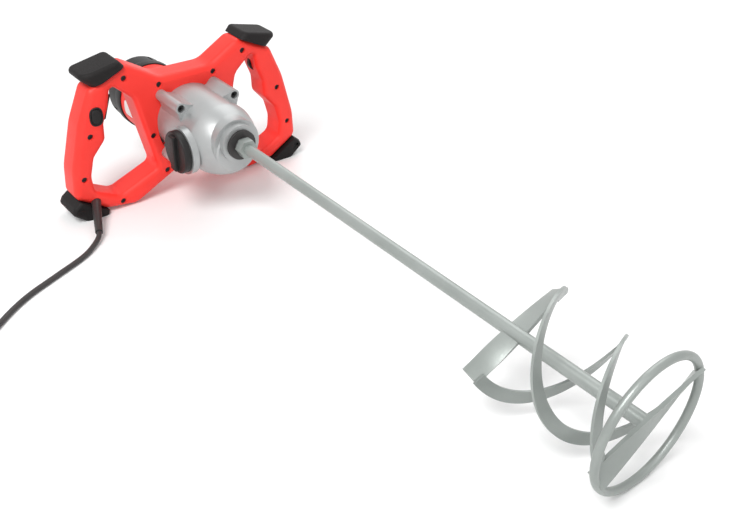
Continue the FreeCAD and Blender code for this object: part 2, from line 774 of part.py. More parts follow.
def make_fork():
    """The shift fork: a claw in the sleeve's groove on a plate that the selector's pin moves along a rail."""
    claw_start = sleeve_start + (sleeve_length - fork_thickness) / 2
    claw = tube(sleeve_radius + 2 * fork_plate, sleeve_groove_radius + moving_gap, claw_start, fork_thickness)
    reach = sleeve_radius + 2 * fork_plate
    claw = claw.common(block(Vector(claw_start, -reach, -reach),
                             Vector(claw_start + fork_thickness, 0, reach)))
    plate_low = -selector_drop - fork_plate_height / 2
    arm = block(Vector(claw_start, -fork_plate_offset - fork_plate, plate_low),
                Vector(claw_start + fork_thickness, -sleeve_radius - fork_plate, 0))
    slot_half = selector_pin_radius + selector_throw / 4 + moving_gap
    plate = block(Vector(claw_start, -fork_plate_offset - fork_plate, plate_low),
                  Vector(selector_x + selector_throw + 2 * slot_half, -fork_plate_offset,
                         plate_low + fork_plate_height))
    slot_tall = selector_throw + selector_pin_radius + moving_gap
    pin_x = selector_x + selector_throw
    slot = block(Vector(pin_x - slot_half, -fork_plate_offset - fork_plate - overrun,
                        -selector_drop - selector_pin_radius
                        - moving_gap),
                 Vector(pin_x + slot_half, -fork_plate_offset + overrun, -selector_drop + slot_tall))
    runner = rod(rail_radius + fork_plate, claw_start, fork_thickness + 2 * fork_plate, rail_y, rail_z)
    fork = claw.fuse(arm).fuse(plate).fuse(runner).removeSplitter().cut(slot)
    return fork.cut(rod(rail_radius + running_gap, plate_back, housing_length, rail_y, rail_z))


def make_rail():
    """The rod that the shift fork slides along, from the plate to the boss in the dome."""
    return rod(rail_radius, plate_front - plate_thickness / 2,
               plate_thickness / 2 + counter_front - plate_front,
               rail_y, rail_z)


def make_selector():
    """The gear selector: a round knob with a grip bar, its shaft and the eccentric pin on the shaft's end."""
    face = -selector_boss_face - moving_gap
    axis = Vector(selector_x, face, -selector_drop)
    disc = Part.makeCylinder(knob_radius, knob_thickness, axis, ALONG_Y * -1)
    outer = [e for e in disc.Edges if abs(e.BoundBox.YMin - face + knob_thickness) < seat_gap
             and abs(e.BoundBox.YMax - e.BoundBox.YMin) < seat_gap]
    disc = disc.makeFillet(knob_thickness / 4, outer)
    bar = block(axis + Vector(-knob_bar_width / 2, -knob_thickness - knob_bar_height,
                              -knob_radius + knob_thickness / 2),
                axis + Vector(knob_bar_width / 2, -knob_thickness / 2, knob_radius - knob_thickness / 2))
    bar_edges = [e for e in bar.Edges if e.BoundBox.YMax < face - knob_thickness]
    knob = disc.fuse(bar.makeFillet(knob_bar_height / 3, bar_edges)).removeSplitter()
    shaft_end = -fork_plate_offset - fork_plate - moving_gap
    shaft = Part.makeCylinder(selector_shaft_radius, shaft_end - face, axis, ALONG_Y)
    pin = Part.makeCylinder(selector_pin_radius, fork_plate + moving_gap,
                            Vector(selector_x + selector_throw, shaft_end, -selector_drop), ALONG_Y)
    return knob, shaft.fuse(pin).removeSplitter()


def dome(inset):
    """The round body of the gear housing with its dome, or its hollow when inset by the wall."""
    radii = [housing_radius - inset, dome_middle_radius - inset, dome_end_radius - inset]
    start = Vector(-dome_start - inset, 0, radii[0])
    middle = Vector(-dome_middle - inset, 0, radii[1])
    end = Vector(-dome_end - inset, 0, radii[2])
    back = Vector(-housing_length, 0, radii[0])
    profile = Part.Wire([
        Part.LineSegment(Vector(back.x, 0, 0), back).toShape(),
        Part.LineSegment(back, start).toShape(),
        Part.Arc(start, middle, end).toShape(),
        Part.LineSegment(end, Vector(end.x, 0, 0)).toShape(),
        Part.LineSegment(Vector(end.x, 0, 0), Vector(back.x, 0, 0)).toShape()])
    solid = Part.Face(profile).revolve(ORIGIN, ALONG_X, 360)
    solid.translate(Vector(0, 0, -housing_drop))
    return solid


def make_gear_housing():
    """The cast gear housing with its nose, lugs, selector boss and bearing seats."""
    body = dome(0)
    for y, z in lug_places:
        body = body.fuse(lug_solid(lug_radius, -housing_length, housing_length - lug_front, y, z,
                                   lug_web_root))
    step_axis = -housing_drop / 3
    body = body.fuse(rod(nose_step_radius, -dome_start, dome_start - nose_step_front, 0, step_axis))
    body = body.fuse(rod(nose_radius, -dome_start, dome_start - nose_front))
    boss_root = -housing_radius + housing_wall
    boss = Part.makeCylinder(selector_boss_radius, selector_boss_face + boss_root,
                             Vector(selector_x, boss_root, -selector_drop), ALONG_Y * -1)
    body = body.fuse(boss)
    hollow = dome(housing_wall)
    seat_wall = rod(small_bearing_radius + housing_wall, counter_front, housing_length, counter_y, counter_z)
    rail_boss = rod(rail_radius + rail_boss_wall, counter_front - rail_radius, housing_length, rail_y, rail_z)
    fork_room = block(Vector(counter_front - housing_wall, rail_y - 2 * housing_wall, -housing_radius),
                      Vector(0, rail_y + fork_plate + moving_gap + selector_throw, fork_top + moving_gap))
    hollow = hollow.cut(seat_wall).cut(rail_boss.cut(fork_room))
    body = body.cut(hollow)
    body = body.cut(rod(nose_bearing_radius + seat_gap, -dome_start, dome_start - nose_bearing_front))
    body = body.cut(rod(nose_seal_radius + seat_gap, -dome_start, dome_start))
    body = body.cut(rod(small_bearing_radius + seat_gap, counter_front - overrun,
                        small_bearing_width + overrun,
                        counter_y, counter_z))
    body = body.cut(rod(rail_radius + seat_gap, -housing_length, counter_front + housing_length + seat_gap,
                        rail_y, rail_z))
    body = body.cut(Part.makeCylinder(selector_shaft_radius + running_gap, selector_boss_face,
                                      Vector(selector_x, 0, -selector_drop), ALONG_Y * -1))
    for y, z in lug_places:
        body = body.cut(rod(lug_screw_radius + seat_gap, -housing_length, housing_length, y, z))
        body = body.cut(rod(lug_screw_head_radius + moving_gap, -lug_front - lug_screw_recess, lug_front, y,
                            z))
    return body


def make_plate():
    """The plate between gear housing and motor, with the seats of three shafts."""
    plate = flange_solid(housing_radius, lug_radius, plate_back, plate_thickness)
    armature_seat = rod(small_bearing_radius + seat_gap, plate_back - overrun,
                        small_bearing_width + overrun, 0, -motor_drop)
    armature_hole = rod(motor_shaft_radius + input_module + moving_gap, plate_back,
                        plate_thickness + overrun, 0, -motor_drop)
    spindle_seat = rod(spindle_journal_radius + bush_wall + seat_gap, plate_front - bush_length,
                       bush_length + overrun)
    counter_seat = rod(countershaft_radius + bush_wall + seat_gap, plate_front - bush_length,
                       bush_length + overrun,
                       counter_y, counter_z)
    rail_seat = rod(rail_radius + seat_gap, plate_front - plate_thickness / 2, plate_thickness, rail_y,
                    rail_z)
    for cutter in (armature_seat, armature_hole, spindle_seat, counter_seat, rail_seat):
        plate = plate.cut(cutter)
    for y, z in lug_places:
        plate = plate.cut(rod(lug_screw_radius + seat_gap, plate_back - overrun,
                              plate_thickness + 2 * overrun, y, z))
    return plate


def make_lug_screws():
    """The four long screws that hold the gear housing and the plate on the motor."""
    head_seat = -lug_front - lug_screw_recess
    tip = flange_back + motor_wall + seat_gap
    screws = []
    for y, z in lug_places:
        head = rod(lug_screw_head_radius, head_seat, 2 * lug_screw_radius, y, z)
        socket = rod(lug_screw_radius, head_seat + lug_screw_radius, 2 * lug_screw_radius, y, z)
        screws.append(head.cut(socket).fuse(rod(lug_screw_radius, tip, head_seat - tip, y, z)))
    return Part.makeCompound(screws)


def make_spindle():
    """The output spindle with its rear journal and the threaded bore for the paddle."""
    shoulder = -nose_bearing_front - nose_bearing_width
    journal_back = plate_front - bush_length + moving_gap
    spindle = rod(spindle_radius, plate_front, shoulder - plate_front)
    spindle = spindle.fuse(rod(spindle_nose_radius, shoulder, spindle_reach - shoulder))
    spindle = spindle.fuse(rod(spindle_journal_radius, journal_back,
                               plate_front - journal_back)).removeSplitter()
    return spindle.cut(rod(thread_radius, spindle_reach - spindle_bore_depth, spindle_bore_depth + overrun))


def bearing(outer, inner, start, width, y=0, z=0):
    """A ball bearing drawn as one closed ring with a groove in each face between its two races."""
    ring = tube(outer, inner + running_gap, start, width, y, z)
    middle = (outer + inner) / 2
    half = (outer - inner) / 6
    for face in (start - overrun, start + width - half / 2):
        ring = ring.cut(tube(middle + half, middle - half, face, overrun + half / 2, y, z))
    return ring


def make_bearings():
    """Bearings and bushes of the three shafts."""
    add("nose_bearing",
        bearing(nose_bearing_radius, spindle_nose_radius, -nose_bearing_front - nose_bearing_width,
                                nose_bearing_width))
    add("spindle_bush", tube(spindle_journal_radius + bush_wall, spindle_journal_radius + running_gap,
                             plate_front - bush_length, bush_length))
    add("countershaft_bush", tube(countershaft_radius + bush_wall, countershaft_radius + running_gap,
                                  plate_front - bush_length, bush_length, counter_y, counter_z))
    add("countershaft_bearing",
        bearing(small_bearing_radius, countershaft_radius, counter_front, small_bearing_width,
                                        counter_y, counter_z))
    add("armature_front_bearing",
        bearing(small_bearing_radius, motor_shaft_radius, plate_back, small_bearing_width,
                                          0, -motor_drop))
    add("armature_rear_bearing", bearing(rear_bearing_radius, motor_shaft_radius, rear_bearing_back,
                                         rear_bearing_width, 0, -motor_drop))
    add("nose_seal",
        tube(nose_seal_radius, spindle_nose_radius + running_gap, -nose_bearing_front, nose_bearing_front))


def make_armature(pinion):
    """The armature's shaft with its pinion, and the core, windings, commutator and fan on it."""
    shaft_back = rear_bearing_back
    shaft_front = input_start - gear_end_gap
    shaft = rod(motor_shaft_radius, shaft_back, shaft_front - shaft_back, 0, -motor_drop)
    shaft = shaft.fuse(rod(motor_shaft_radius / 2, shaft_front, input_width + 2 * gear_end_gap, 0,
                           -motor_drop))
    shaft = shaft.fuse(pinion).removeSplitter()
    bore = motor_shaft_radius
    core = tube(core_radius, bore, core_back, core_length, 0, -motor_drop)
    windings = []
    for start in (core_front, core_back - winding_length):
        windings.append(tube(winding_radius, bore, start, winding_length, 0, -motor_drop))
    commutator = tube(commutator_radius, bore, commutator_back, commutator_length, 0, -motor_drop)
    return shaft, core, Part.makeCompound(windings), commutator


def make_fan():
    """The cooling fan: a hub, a disc and straight blades."""
    start = flange_front - 2 * motor_wall - fan_width
    fan = tube(fan_hub_radius, motor_shaft_radius, start, fan_width, 0, -motor_drop)
    fan = fan.fuse(tube(fan_radius, fan_hub_radius - fan_disc, start, fan_disc, 0, -motor_drop))
    for index in range(fan_blade_count):
        blade = block(Vector(start, fan_hub_radius - fan_disc, -fan_blade / 2),
                      Vector(start + fan_width - fan_disc, fan_radius, fan_blade / 2))
        blade.rotate(ORIGIN, ALONG_X, 360.0 * index / fan_blade_count)
        blade.translate(Vector(0, 0, -motor_drop))
        fan = fan.fuse(blade)
    return fan.removeSplitter()


def make_brushes():
    """Two carbon brushes on the commutator and their holders in the barrel's wall."""
    middle = brush_middle
    outer = motor_radius - motor_wall
    inner = commutator_radius + moving_gap
    holders = []
    brushes = []
    barrel = rod(outer, barrel_back, motor_length, 0, -motor_drop)
    for side in (-1, 1):
        ends = sorted((side * (inner + overrun), side * (outer + overrun)))
        body = block(Vector(middle - brush_width / 2 - brush_holder_wall, ends[0], -motor_drop - brush_half),
                     Vector(middle + brush_width / 2 + brush_holder_wall, ends[1], -motor_drop + brush_half))
        hole = block(Vector(middle - brush_width / 2, ends[0] - overrun,
                            -motor_drop - brush_height / 2 - seat_gap),
                     Vector(middle + brush_width / 2, ends[1] + overrun,
                            -motor_drop + brush_height / 2 + seat_gap))
        holders.append(body.common(barrel).cut(hole))
        brush_ends = sorted((side * inner, side * (inner + 2 * brush_height)))
        brushes.append(block(Vector(middle - brush_width / 2, brush_ends[0], -motor_drop - brush_height / 2),
                             Vector(middle + brush_width / 2, brush_ends[1], -motor_drop + brush_height / 2)))
    return Part.makeCompound(holders), Part.makeCompound(brushes)


def grip_face(height, side):
    """Where the loop's grip side lies at a height above the spindle axis."""
    corners = [frame_point(s) for s in loop_shares]
    for upper, lower in zip(corners, corners[1:]):
        if lower[1] <= height:
            break
    share = (upper[1] - height) / (upper[1] - lower[1])
    return side * (upper[0] + share * (lower[0] - upper[0]))


def make_trigger_side(front, rear):
    """The trigger, which follows the grip's slope, its switch and the shells with their window."""
    x = frame_split - trigger_width / 2
    top = trigger_middle + trigger_height / 2
    bottom = trigger_middle - trigger_height / 2
    outer = [Vector(x, grip_face(height, -1) + trigger_proud, height) for height in (top, bottom)]
    inner = [Vector(x, grip_face(height, -1) - trigger_depth, height) for height in (bottom, top)]
    trigger = Part.Face(Part.makePolygon(outer + inner + outer[:1])).extrude(ALONG_X * trigger_width)
    rounded = [e for e in trigger.Edges if all(near_corner(v.Point, outer) for v in e.Vertexes)]
    trigger = trigger.makeFillet(trigger_edge_radius, rounded)
    deepest = inner[0].y - trigger_travel - moving_gap
    window = block(Vector(x - moving_gap, deepest, bottom - moving_gap),
                   Vector(x + trigger_width + moving_gap, outer[0].y + overrun, top + moving_gap))
    switch_back = frame_back + frame_wall
    switch = block(Vector(switch_back, deepest - switch_depth, trigger_middle - switch_height / 2),
                   Vector(switch_back + switch_width, deepest, trigger_middle + switch_height / 2))
    pressed = line_at(inner, trigger_middle - trigger_edge_radius) - trigger_travel - moving_gap
    middle = switch_back + switch_width / 2
    plunger = block(Vector(middle - trigger_edge_radius, deepest, trigger_middle - trigger_edge_radius),
                    Vector(middle + trigger_edge_radius, pressed, trigger_middle + trigger_edge_radius))
    return trigger, switch.fuse(plunger).removeSplitter(), front.cut(window), rear.cut(window)


def near_corner(point, corners):
    """Whether a point lies on the line along X through one of the corners."""
    return any(math.hypot(point.y - c.y, point.z - c.z) < seat_gap for c in corners)


def line_at(ends, height):
    """The side place, at a height, of the line through two points."""
    share = (height - ends[0].z) / (ends[1].z - ends[0].z)
    return ends[0].y + share * (ends[1].y - ends[0].y)


def oval(width, height, x, length, y, z):
    """An upright oval prism along -X from x."""
    half = width / 2
    rise = (height - width) / 2
    middle = block(Vector(x - length, y - half, z - rise), Vector(x, y + half, z + rise))
    top = rod(half, x - length, length, y, z + rise)
    bottom = rod(half, x - length, length, y, z - rise)
    return middle.fuse(top).fuse(bottom).removeSplitter()


def make_button(front):
    """The lock button in the left grip's front, in an oval recess, and the shell with its opening."""
    y = -button_side
    face = -frame_front
    recess = oval(button_width + 2 * button_rim, button_height + 2 * button_rim, face + overrun,
                  button_recess + overrun, y, button_middle)
    opening = oval(button_width + 2 * moving_gap, button_height + 2 * moving_gap, face + overrun,
                   button_length + button_travel + 2 * overrun, y, button_middle)
    button = oval(button_width, button_height, face + button_travel / 2, button_length, y, button_middle)
    rim = [e for e in button.Edges if e.BoundBox.XMin > face + button_travel / 2 - seat_gap]
    button = button.makeFillet(button_rim / 2, rim)
    return button, front.cut(recess).cut(opening)


def make_dial_side(front, rear):
    """The speed thumbwheel in the right grip with its axle and control module."""
    face = grip_face(dial_middle, 1)
    y = face + dial_radius - dial_proud
    wheel = rod(dial_radius, frame_split - dial_width / 2, dial_width, y, dial_middle)
    wheel = wheel.makeChamfer(dial_width / 8,
                              [e for e in wheel.Edges if e.Curve.TypeId == "Part::GeomCircle"])
    axle_length = module_width - 2 * moving_gap
    axle = rod(dial_axle_radius, frame_split - axle_length / 2, axle_length, y, dial_middle)
    dial = wheel.fuse(axle).removeSplitter()
    room = rod(dial_radius + moving_gap, frame_split - dial_width / 2 - moving_gap,
               dial_width + 2 * moving_gap,
               y, dial_middle)
    front = front.cut(room)
    rear = rear.cut(room)
    inner = y - dial_axle_radius - moving_gap
    outer = y + dial_radius + moving_gap + module_depth
    module = block(Vector(frame_split - module_width / 2, inner, dial_middle - module_height / 2),
                   Vector(frame_split + module_width / 2, outer, dial_middle + module_height / 2))
    module = module.cut(rod(dial_radius + moving_gap, frame_split - dial_width / 2 - moving_gap,
                            dial_width + 2 * moving_gap, y, dial_middle))
    module = module.cut(block(Vector(frame_split - dial_width / 2 - moving_gap, inner - overrun,
                                     dial_middle - dial_radius),
                              Vector(frame_split + dial_width / 2 + moving_gap, y,
                                     dial_middle + dial_radius)))
    module = module.cut(rod(dial_axle_radius + running_gap, frame_split - module_width, 2 * module_width, y,
                            dial_middle))
    return dial, module, front.cut(module_room(inner, outer)), rear.cut(module_room(inner, outer))


def module_room(inner, outer):
    """The space that the speed control module takes in the right grip's shells."""
    margin = Vector(seat_gap, seat_gap, seat_gap)
    low = Vector(frame_split - module_width / 2, inner, dial_middle - module_height / 2)
    high = Vector(frame_split + module_width / 2, outer, dial_middle + module_height / 2)
    return block(low - margin, high + margin)


def blade(stations, station, angle):
    """A flat bar along a direction about the spindle, through pairs of a radius and the bar's twist there."""
    radial = Vector(0, math.sin(math.radians(angle)), math.cos(math.radians(angle)))
    across = ALONG_X.cross(radial)
    sections = []
    for radius, degrees in stations:
        twist = math.radians(degrees)
        wide = (ALONG_X * math.cos(twist) + across * math.sin(twist)) * (blade_width / 2)
        thick = (across * math.cos(twist) - ALONG_X * math.sin(twist)) * (blade_thickness / 2)
        middle = ALONG_X * station + radial * radius
        corners = [middle + wide + thick, middle - wide + thick, middle - wide - thick, middle + wide - thick]
        sections.append(Part.makePolygon(corners + corners[:1]))
    return Part.makeLoft(sections, True, False)


ribbon_start = arm_station + blade_width / 2 * math.cos(math.radians(arm_twist))
ribbon_end = ring_station


def ribbon(angle):
    """One helical ribbon, a flat bar on edge, from an arm's tip to the ring, drawn in halfway."""
    sections = []
    run = ribbon_end - ribbon_start
    slope = math.radians(ribbon_turn) * (ribbon_radius - ribbon_width / 2) / run
    for index in range(ribbon_steps + 1):
        share = index / ribbon_steps
        turn = math.radians(angle - share * ribbon_turn)
        radial = Vector(0, math.sin(turn), math.cos(turn))
        along = (ALONG_X + ALONG_X.cross(radial) * slope).normalize()
        thick = radial.cross(along) * (ribbon_thickness / 2)
        bow = math.sin(math.pi * share)
        axis = ALONG_X * (ribbon_start + share * run + ribbon_lag * bow)
        reach = ribbon_radius - ribbon_waist * bow
        outer = axis + radial * reach
        inner = axis + radial * (reach - ribbon_width)
        corners = [outer + thick, inner + thick, inner - thick, outer - thick]
        sections.append(Part.makePolygon(corners + corners[:1]))
    return Part.makeLoft(sections, True, False)


def make_paddle():
    """The welded paddle: shaft with hex collar, two arms, two ribbons, ring and crossbar."""
    shaft_end = ring_station - blade_thickness / 2 - seat_gap
    shaft = rod(paddle_shaft_radius, spindle_reach, shaft_end - spindle_reach)
    stud = rod(thread_radius - thread_gap, spindle_reach - spindle_bore_depth + overrun, spindle_bore_depth)
    shaft = shaft.fuse(stud).removeSplitter()
    corner = collar_flats / math.sqrt(3)
    points = [Vector(spindle_reach + seat_gap, corner * math.cos(math.radians(a)),
                     corner * math.sin(math.radians(a)))
              for a in range(0, 360, 60)]
    collar = Part.Face(Part.makePolygon(points + points[:1])).extrude(ALONG_X * collar_length)
    collar = collar.cut(shaft)
    steps = [step / blade_steps for step in range(blade_steps + 1)]
    halves = [-share for share in reversed(steps[1:])] + steps
    bar_stations = [(ring_middle_radius * share, quarter_turn - crossbar_twist * share) for share in halves]
    crossbar = blade(bar_stations, ring_station, arm_angle)
    arm_stations = [(arm_reach * share, arm_twist * share) for share in steps]
    arms = [blade(arm_stations, arm_station, arm_angle + turn).cut(shaft) for turn in (0, 180)]
    ribbons = [ribbon(arm_angle + turn).cut(crossbar).cut(arms[0]).cut(arms[1]) for turn in (0, 180)]
    ring = Part.makeTorus(ring_middle_radius, ring_bar_radius, Vector(ring_station, 0, 0), ALONG_X)
    for piece in [crossbar] + ribbons:
        ring = ring.cut(piece)
    return shaft, collar, arms, ribbons, ring, crossbar


def arc_to(start, tangent, end):
    """The arc that leaves start along tangent and reaches end."""
    chord = end - start
    unit = Vector(chord).normalize()
    turn = tangent.getAngle(unit)
    if turn < 1e-6:
        return Part.LineSegment(start, end).toShape()
    side = (tangent - unit * tangent.dot(unit)).normalize()
    middle = start + chord / 2 + side * (chord.Length / 2 * math.tan(turn / 2))
    return Part.Arc(start, middle, end).toShape()


def biarc(start, tangent, end, end_tangent):
    """Two arcs that leave start along tangent and reach end along end_tangent."""
    run = end - start
    both = tangent + end_tangent
    spare = 2 * (1 - tangent.dot(end_tangent))
    if spare < 1e-9:
        reach = run.dot(run) / (4 * run.dot(end_tangent))
    else:
        reach = (-run.dot(both) + math.sqrt(run.dot(both) ** 2 + spare * run.dot(run))) / spare
    middle = (start + tangent * reach + end - end_tangent * reach) / 2
    return [arc_to(start, tangent, middle), arc_to(end, end_tangent * -1, middle)]


turn_pitch = 2 * cord_radius + coil_gap


def coil_point(turns):
    """A point of the put-away coil: it spirals in on the floor, climbs, and spirals out on top."""
    climb = coil_climb_share
    outer = coil_middle_radius + turn_pitch * coil_turns / 2
    inner = outer - turn_pitch * coil_turns
    past = turns - coil_turns
    if past <= climb / 2:
        radius = inner - turn_pitch * past
    else:
        radius = inner + turn_pitch * (past - climb)
    height = min(max(past / climb, 0), 1)
    angle = math.radians(coil_start_angle) - 2 * math.pi * turns
    level = tie_thickness + cord_radius + coil_gap / 2 + height * turn_pitch
    return coil_centre + Vector(radius * math.cos(angle), radius * math.sin(angle), level)


def coil_tangent(turns):
    """The coil's direction at a point, level in every layer."""
    step = 1e-4
    run = coil_point(turns + step) - coil_point(turns - step)
    return Vector(run.x, run.y, 0).normalize()


coil_total_turns = coil_layers * coil_turns + coil_climb_share


def swept(edges, radius):
    """A round tube along a chain of edges."""
    path = Part.Wire(edges)
    start = edges[0].valueAt(edges[0].FirstParameter)
    direction = edges[0].tangentAt(edges[0].FirstParameter)
    section = Part.Wire([Part.makeCircle(radius, start, direction)])
    return path.makePipeShell([section], True, False)


def make_coil():
    """The put-away coil as one tube, with a straight end at each side."""
    quarters = int(round(4 * coil_total_turns))
    edges = []
    first = coil_point(0)
    lead = coil_tangent(1e-3)
    edges.append(Part.LineSegment(first - lead * (2 * cord_radius), first).toShape())
    direction = lead
    for index in range(quarters):
        end = coil_point((index + 1) / 4)
        end_direction = coil_tangent((index + 1) / 4)
        edges += biarc(coil_point(index / 4), direction, end, end_direction)
        direction = end_direction
    last = coil_point(quarters / 4)
    edges.append(Part.LineSegment(last, last + direction * (2 * cord_radius)).toShape())
    ordered = Part.sortEdges(edges)[0]
    return swept(ordered, cord_radius), ordered, last + direction * (2 * cord_radius), direction


def least_coil_gap(edges):
    """The least gap between turns of the coil, measured on points along it."""
    points = []
    edge_points = 12
    for edge in edges:
        points += edge.discretize(edge_points)[:-1]
    least = coil_middle_radius
    skip = 2 * edge_points
    for index, here in enumerate(points):
        for other in points[index + skip:]:
            least = min(least, here.distanceToPoint(other) - 2 * cord_radius)
    return least


def make_route(points):
    """The cord's free run: straight runs with the largest arcs that they leave room for."""
    edges = []
    here = points[0]
    for before, corner, after in zip(points, points[1:], points[2:]):
        back = before - corner
        forth = after - corner
        turn = math.pi - back.getAngle(forth)
        reach = cord_arc_share * min(back.Length, forth.Length)
        radius = reach / math.tan(turn / 2)
        start = corner + back.normalize() * reach
        end = corner + forth.normalize() * reach
        edges.append(Part.LineSegment(here, start).toShape())
        edges.append(arc_to(start, back * -1, end))
        print("cord radius %.0f mm, turn %.0f degrees" % (radius, math.degrees(turn)))
        here = end
    edges.append(Part.LineSegment(here, points[-1]).toShape())
    return edges


def gland_axis():
    """Start and direction of the strain relief in the drill's own frame."""
    y, z = frame_point((gland_side_share, gland_height_share))
    direction = Vector(gland_direction).normalize()
    return Vector(-frame_front, y, z) - direction * gland_inside, direction


def make_gland(front):
    """The tapered strain relief in the left grip's lower corner, its shell and the room it takes."""
    start, direction = gland_axis()
    flange = Part.makeCylinder(gland_flange_radius, gland_flange, start, direction)
    sleeve = Part.makeCone(gland_radius, gland_end_radius, gland_length - gland_flange,
                           start + direction * gland_flange, direction)
    gland = flange.fuse(sleeve).removeSplitter()
    hole = Part.makeCylinder(gland_radius + seat_gap, gland_length, start + direction * gland_flange,
                             direction)
    pocket = Part.makeCylinder(gland_flange_radius + seat_gap, gland_flange + 2 * seat_gap,
                               start - direction * seat_gap, direction)
    return gland, front.cut(hole).cut(pocket), hole.fuse(pocket)


def make_plug(start, direction):
    """A flat two-pin plug lying at the end of the coil, with its relief, pins apart."""
    across = ALONG_Z.cross(direction).normalize()
    relief_end = start + direction * plug_relief_length
    relief = Part.makeCone(cord_radius + seat_gap, plug_height / 2, plug_relief_length, start, direction)
    low = Part.makeBox(plug_length, plug_width, plug_height)
    edges = [e for e in low.Edges if abs(e.Vertexes[0].Point.x - e.Vertexes[1].Point.x) > seat_gap]
    low = low.makeFillet(plug_edge_radius, edges)
    low.translate(Vector(0, -plug_width / 2, -plug_height / 2))
    turn = Rotation(direction, across, direction.cross(across), "XYZ")
    low.Placement = Placement(relief_end, turn).multiply(low.Placement)
    pins = []
    for side in (-1, 1):
        base = relief_end + direction * plug_length + across * (side * plug_pin_spacing / 2)
        pin = Part.makeCylinder(plug_pin_radius, plug_pin_length, base, direction)
        pins.append(pin)
    return relief.fuse(low).removeSplitter(), Part.makeCompound(pins), relief_end + direction * plug_length


def make_tie():
    """The strap round the coil's turns on one side."""
    angle = math.radians(tie_angle)
    radial = Vector(math.cos(angle), math.sin(angle), 0)
    half = turn_pitch * (coil_turns + 1) / 2 + coil_gap
    height = coil_layers * turn_pitch + coil_gap
    inner = Part.makeBox(2 * tie_width, 2 * half, height, Vector(-tie_width, -half, tie_thickness))
    outer = Part.makeBox(tie_width, 2 * half + 2 * tie_thickness, height + 2 * tie_thickness,
                         Vector(-tie_width / 2, -half - tie_thickness, 0))
    tie = outer.cut(inner)
    turn = Rotation(ALONG_Y, radial)
    tie.Placement = Placement(coil_centre + radial * coil_middle_radius, turn)
    return tie


def build():
    """Makes every piece in the drill's own frame."""
    front, rear, screws = make_frame()
    trigger, switch, front, rear = make_trigger_side(front, rear)
    button, front = make_button(front)
    dial, module, front, rear = make_dial_side(front, rear)
    gland, front, gland_room = make_gland(front)
    add("front_housing", front)
    add("rear_housing", rear)
    add("housing_screws", screws)
    upper = upper_bumper()
    lower = lower_bumper()
    add("upper_left_bumper", mirrored(upper))
    add("upper_right_bumper", upper)
    add("lower_left_bumper", mirrored(lower).cut(gland_room))
    add("lower_right_bumper", lower)
    add("motor_housing", make_motor_housing())
    cap_screws, cap = make_cap_screws(make_rear_cap())
    add("rear_cap", cap)
    add("cap_screws", cap_screws)
    stator, coils = make_stator()
    add("stator_core", stator)
    add("field_coils", coils)
    holders, brushes = make_brushes()
    add("brush_holders", holders)
    add("brushes", brushes)
    add("gear_housing", make_gear_housing())
    add("gear_plate", make_plate())
    add("gear_housing_screws", make_lug_screws())
    make_bearings()
    low_gear, low_pinion, high_gear, high_pinion, input_gear, pinion = make_gears()
    sleeve, low_gear, high_gear = make_shift(low_gear, high_gear)
    add("spindle", make_spindle())
    add("low_gear", low_gear)
    add("high_gear", high_gear)
    add("shift_sleeve", sleeve)
    add("shift_fork", make_fork())
    add("fork_rail", make_rail())
    knob, selector_shaft = make_selector()
    add("selector_knob", knob)
    add("selector_shaft", selector_shaft)
    counter_back = plate_front - bush_length + moving_gap
    add("countershaft",
        rod(countershaft_radius, counter_back, counter_front + small_bearing_width - counter_back,
                            counter_y, counter_z))
    add("countershaft_input_gear", input_gear)
    add("countershaft_low_pinion", low_pinion)
    add("countershaft_high_pinion", high_pinion)
    shaft, core, windings, commutator = make_armature(pinion)
    add("armature_shaft", shaft)
    add("armature_core", core)
    add("armature_windings", windings)
    add("commutator", commutator)
    add("fan", make_fan())
    add("trigger", trigger)
    add("switch", switch)
    add("lock_button", button)
    add("speed_dial", dial)
    add("speed_module", module)
    add("cord_gland", gland)
    shaft, collar, arms, ribbons, ring, crossbar = make_paddle()
    add("paddle_shaft", shaft)
    add("paddle_collar", collar)
    add("paddle_arm_1", arms[0])
    add("paddle_arm_2", arms[1])
    add("paddle_ribbon_1", ribbons[0])
    add("paddle_ribbon_2", ribbons[1])
    add("paddle_ring", ring)
    add("paddle_crossbar", crossbar)


def lay_down():
    """Tilts the drill on to the floor and puts the origin under the middle of its box."""
    for shape in parts.values():
        shape.rotate(ORIGIN, ALONG_Y, math.degrees(tilt))
    box = Part.makeCompound(list(parts.values())).optimalBoundingBox(False, False)
    move = Vector(-(box.XMin + box.XMax) / 2, -(box.YMin + box.YMax) / 2, -box.ZMin)
    for shape in parts.values():
        shape.translate(move)
    return move


